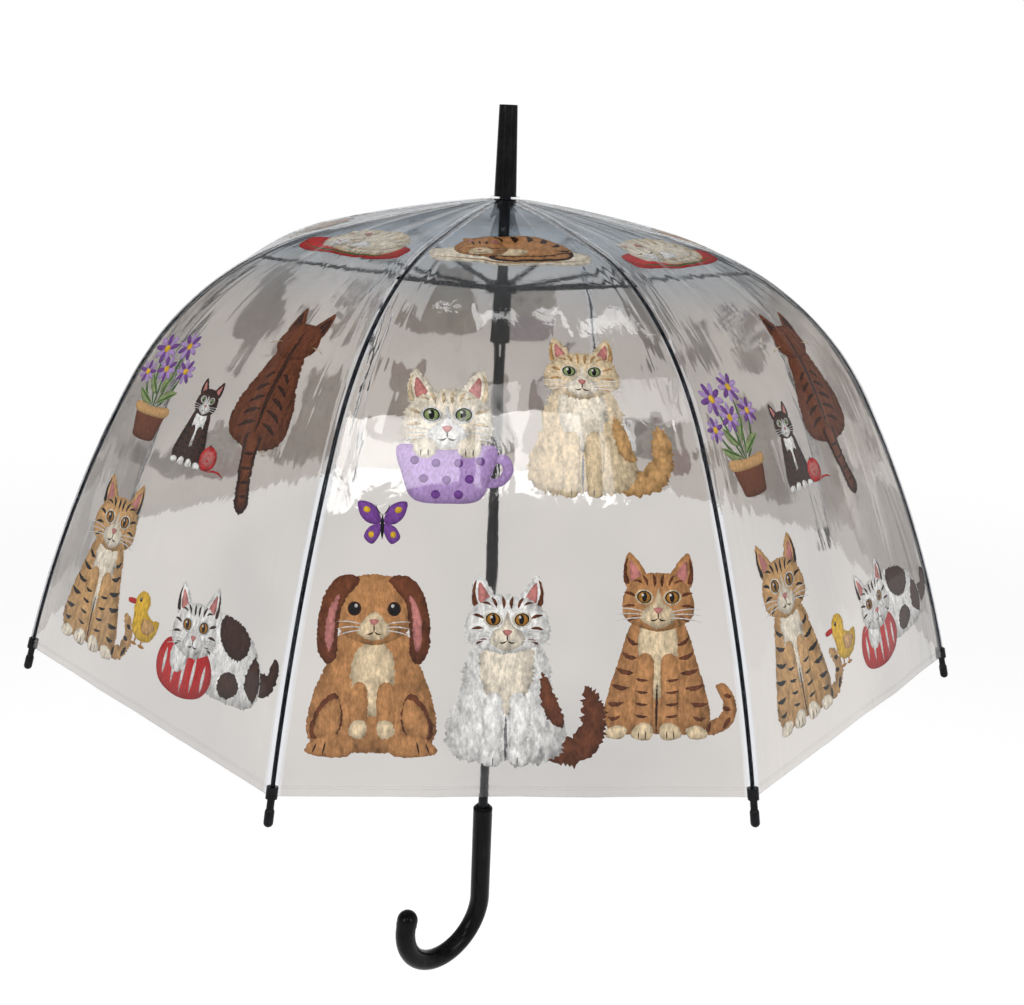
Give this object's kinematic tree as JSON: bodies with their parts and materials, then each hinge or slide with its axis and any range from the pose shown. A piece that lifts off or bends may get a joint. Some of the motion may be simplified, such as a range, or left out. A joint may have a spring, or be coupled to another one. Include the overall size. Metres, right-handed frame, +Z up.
{
  "type": "dome umbrella",
  "caption": "Clear bubble umbrella held open, with a printed film dome, a folding rib frame on a black shaft and a crook handle.",
  "frame": {"origin": "on the shaft's axis, at the middle of the handle's straight grip", "axes": "+Z up the shaft to the ferrule; one gore faces -Y; the hook curls towards 220 degrees round from +X"},
  "size_m": [0.7902, 0.7902, 0.868],
  "materials": {
    "canopy_film": "clear vinyl film with a printed pattern",
    "clear_cap": "clear vinyl washer",
    "ferrule_plastic": "black fluted plastic",
    "handle_plastic": "smooth black plastic",
    "tip_plastic": "black plastic",
    "frame_plastic": "black plastic",
    "rod_paint": "black coated rod",
    "stretcher_paint": "black coated steel",
    "shaft_paint": "black coated steel tube",
    "bright_wire": "bright spring steel"
  },
  "bodies": {
    "frame": {"shaft_tube": "shaft_paint", "ferrule": "ferrule_plastic", "canopy_cap": "clear_cap", "top_notch": "frame_plastic", "notch_wire": "bright_wire", "handle": "handle_plastic", "handle_collar": "handle_plastic", "handle_end_cap": "handle_plastic"},
    "runner": {"runner": "frame_plastic", "runner_wire": "bright_wire"},
    "top_catch": {"top_catch": "bright_wire"},
    "bottom_catch": {"bottom_catch": "bright_wire"},
    "rib_upper_1": {"rib_upper_1": "rod_paint"},
    "rib_lower_1": {"rib_lower_1": "rod_paint", "rib_tip_1": "tip_plastic"},
    "stretcher_1": {"stretcher_1": "stretcher_paint"},
    "gore_upper_1": {"gore_upper_1": "canopy_film"},
    "gore_lower_1": {"gore_lower_1": "canopy_film"},
    "rib_upper_2": {"rib_upper_2": "rod_paint"},
    "rib_lower_2": {"rib_lower_2": "rod_paint", "rib_tip_2": "tip_plastic"},
    "stretcher_2": {"stretcher_2": "stretcher_paint"},
    "gore_upper_2": {"gore_upper_2": "canopy_film"},
    "gore_lower_2": {"gore_lower_2": "canopy_film"},
    "rib_upper_3": {"rib_upper_3": "rod_paint"},
    "rib_lower_3": {"rib_lower_3": "rod_paint", "rib_tip_3": "tip_plastic"},
    "stretcher_3": {"stretcher_3": "stretcher_paint"},
    "gore_upper_3": {"gore_upper_3": "canopy_film"},
    "gore_lower_3": {"gore_lower_3": "canopy_film"},
    "rib_upper_4": {"rib_upper_4": "rod_paint"},
    "rib_lower_4": {"rib_lower_4": "rod_paint", "rib_tip_4": "tip_plastic"},
    "stretcher_4": {"stretcher_4": "stretcher_paint"},
    "gore_upper_4": {"gore_upper_4": "canopy_film"},
    "gore_lower_4": {"gore_lower_4": "canopy_film"},
    "rib_upper_5": {"rib_upper_5": "rod_paint"},
    "rib_lower_5": {"rib_lower_5": "rod_paint", "rib_tip_5": "tip_plastic"},
    "stretcher_5": {"stretcher_5": "stretcher_paint"},
    "gore_upper_5": {"gore_upper_5": "canopy_film"},
    "gore_lower_5": {"gore_lower_5": "canopy_film"},
    "rib_upper_6": {"rib_upper_6": "rod_paint"},
    "rib_lower_6": {"rib_lower_6": "rod_paint", "rib_tip_6": "tip_plastic"},
    "stretcher_6": {"stretcher_6": "stretcher_paint"},
    "gore_upper_6": {"gore_upper_6": "canopy_film"},
    "gore_lower_6": {"gore_lower_6": "canopy_film"},
    "rib_upper_7": {"rib_upper_7": "rod_paint"},
    "rib_lower_7": {"rib_lower_7": "rod_paint", "rib_tip_7": "tip_plastic"},
    "stretcher_7": {"stretcher_7": "stretcher_paint"},
    "gore_upper_7": {"gore_upper_7": "canopy_film"},
    "gore_lower_7": {"gore_lower_7": "canopy_film"},
    "rib_upper_8": {"rib_upper_8": "rod_paint"},
    "rib_lower_8": {"rib_lower_8": "rod_paint", "rib_tip_8": "tip_plastic"},
    "stretcher_8": {"stretcher_8": "stretcher_paint"},
    "gore_upper_8": {"gore_upper_8": "canopy_film"},
    "gore_lower_8": {"gore_lower_8": "canopy_film"}
  },
  "joints": [
    {"name": "runner_slide", "type": "slide", "parent": "frame", "child": "runner", "axis": [0, 0, -1], "range_m": [0, 0.35209]},
    {"name": "rib_fold_1", "type": "hinge", "parent": "frame", "child": "rib_upper_1", "pos_m": [0.00878, 0.00364, 0.671], "axis": [-0.3827, 0.9239, 0], "range_deg": [0, 75.57]},
    {"name": "rib_straighten_1", "type": "hinge", "parent": "rib_upper_1", "child": "rib_lower_1", "pos_m": [0.20488, 0.08486, 0.62411], "axis": [0.3827, -0.9239, 0], "range_deg": [0, 44.68]},
    {"name": "stretcher_fold_1", "type": "hinge", "parent": "runner", "child": "stretcher_1", "pos_m": [0.01109, 0.00459, 0.594], "axis": [0.3827, -0.9239, 0], "range_deg": [0, 80.48]},
    {"name": "gore_fold_1", "type": "hinge", "parent": "frame", "child": "gore_upper_1", "pos_m": [0.00621, 0.00621, 0.671], "axis": [-0.7071, 0.7071, 0], "range_deg": [0, 74.59], "deforming": ["gore_upper_1"]},
    {"name": "gore_straighten_1", "type": "hinge", "parent": "gore_upper_1", "child": "gore_lower_1", "pos_m": [0.14487, 0.14487, 0.62411], "axis": [0.7071, -0.7071, 0], "range_deg": [0, 45.63], "deforming": ["gore_lower_1"]},
    {"name": "rib_fold_2", "type": "hinge", "parent": "frame", "child": "rib_upper_2", "pos_m": [0.00364, 0.00878, 0.671], "axis": [-0.9239, 0.3827, 0], "range_deg": [0, 75.57]},
    {"name": "rib_straighten_2", "type": "hinge", "parent": "rib_upper_2", "child": "rib_lower_2", "pos_m": [0.08486, 0.20488, 0.62411], "axis": [0.9239, -0.3827, 0], "range_deg": [0, 44.68]},
    {"name": "stretcher_fold_2", "type": "hinge", "parent": "runner", "child": "stretcher_2", "pos_m": [0.00459, 0.01109, 0.594], "axis": [0.9239, -0.3827, 0], "range_deg": [0, 80.48]},
    {"name": "gore_fold_2", "type": "hinge", "parent": "frame", "child": "gore_upper_2", "pos_m": [0, 0.00878, 0.671], "axis": [-1, 0, 0], "range_deg": [0, 74.59], "deforming": ["gore_upper_2"]},
    {"name": "gore_straighten_2", "type": "hinge", "parent": "gore_upper_2", "child": "gore_lower_2", "pos_m": [0, 0.20488, 0.62411], "axis": [1, 0, 0], "range_deg": [0, 45.63], "deforming": ["gore_lower_2"]},
    {"name": "rib_fold_3", "type": "hinge", "parent": "frame", "child": "rib_upper_3", "pos_m": [-0.00364, 0.00878, 0.671], "axis": [-0.9239, -0.3827, 0], "range_deg": [0, 75.57]},
    {"name": "rib_straighten_3", "type": "hinge", "parent": "rib_upper_3", "child": "rib_lower_3", "pos_m": [-0.08486, 0.20488, 0.62411], "axis": [0.9239, 0.3827, 0], "range_deg": [0, 44.68]},
    {"name": "stretcher_fold_3", "type": "hinge", "parent": "runner", "child": "stretcher_3", "pos_m": [-0.00459, 0.01109, 0.594], "axis": [0.9239, 0.3827, 0], "range_deg": [0, 80.48]},
    {"name": "gore_fold_3", "type": "hinge", "parent": "frame", "child": "gore_upper_3", "pos_m": [-0.00621, 0.00621, 0.671], "axis": [-0.7071, -0.7071, 0], "range_deg": [0, 74.59], "deforming": ["gore_upper_3"]},
    {"name": "gore_straighten_3", "type": "hinge", "parent": "gore_upper_3", "child": "gore_lower_3", "pos_m": [-0.14487, 0.14487, 0.62411], "axis": [0.7071, 0.7071, 0], "range_deg": [0, 45.63], "deforming": ["gore_lower_3"]},
    {"name": "rib_fold_4", "type": "hinge", "parent": "frame", "child": "rib_upper_4", "pos_m": [-0.00878, 0.00364, 0.671], "axis": [-0.3827, -0.9239, 0], "range_deg": [0, 75.57]},
    {"name": "rib_straighten_4", "type": "hinge", "parent": "rib_upper_4", "child": "rib_lower_4", "pos_m": [-0.20488, 0.08486, 0.62411], "axis": [0.3827, 0.9239, 0], "range_deg": [0, 44.68]},
    {"name": "stretcher_fold_4", "type": "hinge", "parent": "runner", "child": "stretcher_4", "pos_m": [-0.01109, 0.00459, 0.594], "axis": [0.3827, 0.9239, 0], "range_deg": [0, 80.48]},
    {"name": "gore_fold_4", "type": "hinge", "parent": "frame", "child": "gore_upper_4", "pos_m": [-0.00878, 0, 0.671], "axis": [0, -1, 0], "range_deg": [0, 74.59], "deforming": ["gore_upper_4"]},
    {"name": "gore_straighten_4", "type": "hinge", "parent": "gore_upper_4", "child": "gore_lower_4", "pos_m": [-0.20488, 0, 0.62411], "axis": [0, 1, 0], "range_deg": [0, 45.63], "deforming": ["gore_lower_4"]},
    {"name": "rib_fold_5", "type": "hinge", "parent": "frame", "child": "rib_upper_5", "pos_m": [-0.00878, -0.00364, 0.671], "axis": [0.3827, -0.9239, 0], "range_deg": [0, 75.57]},
    {"name": "rib_straighten_5", "type": "hinge", "parent": "rib_upper_5", "child": "rib_lower_5", "pos_m": [-0.20488, -0.08486, 0.62411], "axis": [-0.3827, 0.9239, 0], "range_deg": [0, 44.68]},
    {"name": "stretcher_fold_5", "type": "hinge", "parent": "runner", "child": "stretcher_5", "pos_m": [-0.01109, -0.00459, 0.594], "axis": [-0.3827, 0.9239, 0], "range_deg": [0, 80.48]},
    {"name": "gore_fold_5", "type": "hinge", "parent": "frame", "child": "gore_upper_5", "pos_m": [-0.00621, -0.00621, 0.671], "axis": [0.7071, -0.7071, 0], "range_deg": [0, 74.59], "deforming": ["gore_upper_5"]},
    {"name": "gore_straighten_5", "type": "hinge", "parent": "gore_upper_5", "child": "gore_lower_5", "pos_m": [-0.14487, -0.14487, 0.62411], "axis": [-0.7071, 0.7071, 0], "range_deg": [0, 45.63], "deforming": ["gore_lower_5"]},
    {"name": "rib_fold_6", "type": "hinge", "parent": "frame", "child": "rib_upper_6", "pos_m": [-0.00364, -0.00878, 0.671], "axis": [0.9239, -0.3827, 0], "range_deg": [0, 75.57]},
    {"name": "rib_straighten_6", "type": "hinge", "parent": "rib_upper_6", "child": "rib_lower_6", "pos_m": [-0.08486, -0.20488, 0.62411], "axis": [-0.9239, 0.3827, 0], "range_deg": [0, 44.68]},
    {"name": "stretcher_fold_6", "type": "hinge", "parent": "runner", "child": "stretcher_6", "pos_m": [-0.00459, -0.01109, 0.594], "axis": [-0.9239, 0.3827, 0], "range_deg": [0, 80.48]},
    {"name": "gore_fold_6", "type": "hinge", "parent": "frame", "child": "gore_upper_6", "pos_m": [0, -0.00878, 0.671], "axis": [1, 0, 0], "range_deg": [0, 74.59], "deforming": ["gore_upper_6"]},
    {"name": "gore_straighten_6", "type": "hinge", "parent": "gore_upper_6", "child": "gore_lower_6", "pos_m": [0, -0.20488, 0.62411], "axis": [-1, 0, 0], "range_deg": [0, 45.63], "deforming": ["gore_lower_6"]},
    {"name": "rib_fold_7", "type": "hinge", "parent": "frame", "child": "rib_upper_7", "pos_m": [0.00364, -0.00878, 0.671], "axis": [0.9239, 0.3827, 0], "range_deg": [0, 75.57]},
    {"name": "rib_straighten_7", "type": "hinge", "parent": "rib_upper_7", "child": "rib_lower_7", "pos_m": [0.08486, -0.20488, 0.62411], "axis": [-0.9239, -0.3827, 0], "range_deg": [0, 44.68]},
    {"name": "stretcher_fold_7", "type": "hinge", "parent": "runner", "child": "stretcher_7", "pos_m": [0.00459, -0.01109, 0.594], "axis": [-0.9239, -0.3827, 0], "range_deg": [0, 80.48]},
    {"name": "gore_fold_7", "type": "hinge", "parent": "frame", "child": "gore_upper_7", "pos_m": [0.00621, -0.00621, 0.671], "axis": [0.7071, 0.7071, 0], "range_deg": [0, 74.59], "deforming": ["gore_upper_7"]},
    {"name": "gore_straighten_7", "type": "hinge", "parent": "gore_upper_7", "child": "gore_lower_7", "pos_m": [0.14487, -0.14487, 0.62411], "axis": [-0.7071, -0.7071, 0], "range_deg": [0, 45.63], "deforming": ["gore_lower_7"]},
    {"name": "rib_fold_8", "type": "hinge", "parent": "frame", "child": "rib_upper_8", "pos_m": [0.00878, -0.00364, 0.671], "axis": [0.3827, 0.9239, 0], "range_deg": [0, 75.57]},
    {"name": "rib_straighten_8", "type": "hinge", "parent": "rib_upper_8", "child": "rib_lower_8", "pos_m": [0.20488, -0.08486, 0.62411], "axis": [-0.3827, -0.9239, 0], "range_deg": [0, 44.68]},
    {"name": "stretcher_fold_8", "type": "hinge", "parent": "runner", "child": "stretcher_8", "pos_m": [0.01109, -0.00459, 0.594], "axis": [-0.3827, -0.9239, 0], "range_deg": [0, 80.48]},
    {"name": "gore_fold_8", "type": "hinge", "parent": "frame", "child": "gore_upper_8", "pos_m": [0.00878, 0, 0.671], "axis": [0, 1, 0], "range_deg": [0, 74.59], "deforming": ["gore_upper_8"]},
    {"name": "gore_straighten_8", "type": "hinge", "parent": "gore_upper_8", "child": "gore_lower_8", "pos_m": [0.20488, 0, 0.62411], "axis": [0, -1, 0], "range_deg": [0, 45.63], "deforming": ["gore_lower_8"]},
    {"name": "top_catch_press", "type": "hinge", "parent": "frame", "child": "top_catch", "pos_m": [0, -0.0025, 0.5292], "axis": [-1, 0, 0], "range_deg": [0, 8.5], "stiffness_Nm_per_rad": 0.3},
    {"name": "bottom_catch_press", "type": "hinge", "parent": "frame", "child": "bottom_catch", "pos_m": [0, -0.0025, 0.26471], "axis": [1, 0, 0], "range_deg": [0, 8.5], "stiffness_Nm_per_rad": 0.3}
  ],
  "couplings": [
    {"joint": "rib_fold_1", "follows": "runner_slide", "rad_per_m": 3.7459},
    {"joint": "rib_straighten_1", "follows": "runner_slide", "rad_per_m": 2.2145},
    {"joint": "stretcher_fold_1", "follows": "runner_slide", "rad_per_m": 3.9893},
    {"joint": "gore_fold_1", "follows": "runner_slide", "rad_per_m": 3.6972},
    {"joint": "gore_straighten_1", "follows": "runner_slide", "rad_per_m": 2.2619},
    {"joint": "rib_fold_2", "follows": "runner_slide", "rad_per_m": 3.7459},
    {"joint": "rib_straighten_2", "follows": "runner_slide", "rad_per_m": 2.2145},
    {"joint": "stretcher_fold_2", "follows": "runner_slide", "rad_per_m": 3.9893},
    {"joint": "gore_fold_2", "follows": "runner_slide", "rad_per_m": 3.6972},
    {"joint": "gore_straighten_2", "follows": "runner_slide", "rad_per_m": 2.2619},
    {"joint": "rib_fold_3", "follows": "runner_slide", "rad_per_m": 3.7459},
    {"joint": "rib_straighten_3", "follows": "runner_slide", "rad_per_m": 2.2145},
    {"joint": "stretcher_fold_3", "follows": "runner_slide", "rad_per_m": 3.9893},
    {"joint": "gore_fold_3", "follows": "runner_slide", "rad_per_m": 3.6972},
    {"joint": "gore_straighten_3", "follows": "runner_slide", "rad_per_m": 2.2619},
    {"joint": "rib_fold_4", "follows": "runner_slide", "rad_per_m": 3.7459},
    {"joint": "rib_straighten_4", "follows": "runner_slide", "rad_per_m": 2.2145},
    {"joint": "stretcher_fold_4", "follows": "runner_slide", "rad_per_m": 3.9893},
    {"joint": "gore_fold_4", "follows": "runner_slide", "rad_per_m": 3.6972},
    {"joint": "gore_straighten_4", "follows": "runner_slide", "rad_per_m": 2.2619},
    {"joint": "rib_fold_5", "follows": "runner_slide", "rad_per_m": 3.7459},
    {"joint": "rib_straighten_5", "follows": "runner_slide", "rad_per_m": 2.2145},
    {"joint": "stretcher_fold_5", "follows": "runner_slide", "rad_per_m": 3.9893},
    {"joint": "gore_fold_5", "follows": "runner_slide", "rad_per_m": 3.6972},
    {"joint": "gore_straighten_5", "follows": "runner_slide", "rad_per_m": 2.2619},
    {"joint": "rib_fold_6", "follows": "runner_slide", "rad_per_m": 3.7459},
    {"joint": "rib_straighten_6", "follows": "runner_slide", "rad_per_m": 2.2145},
    {"joint": "stretcher_fold_6", "follows": "runner_slide", "rad_per_m": 3.9893},
    {"joint": "gore_fold_6", "follows": "runner_slide", "rad_per_m": 3.6972},
    {"joint": "gore_straighten_6", "follows": "runner_slide", "rad_per_m": 2.2619},
    {"joint": "rib_fold_7", "follows": "runner_slide", "rad_per_m": 3.7459},
    {"joint": "rib_straighten_7", "follows": "runner_slide", "rad_per_m": 2.2145},
    {"joint": "stretcher_fold_7", "follows": "runner_slide", "rad_per_m": 3.9893},
    {"joint": "gore_fold_7", "follows": "runner_slide", "rad_per_m": 3.6972},
    {"joint": "gore_straighten_7", "follows": "runner_slide", "rad_per_m": 2.2619},
    {"joint": "rib_fold_8", "follows": "runner_slide", "rad_per_m": 3.7459},
    {"joint": "rib_straighten_8", "follows": "runner_slide", "rad_per_m": 2.2145},
    {"joint": "stretcher_fold_8", "follows": "runner_slide", "rad_per_m": 3.9893},
    {"joint": "gore_fold_8", "follows": "runner_slide", "rad_per_m": 3.6972},
    {"joint": "gore_straighten_8", "follows": "runner_slide", "rad_per_m": 2.2619}
  ]
}
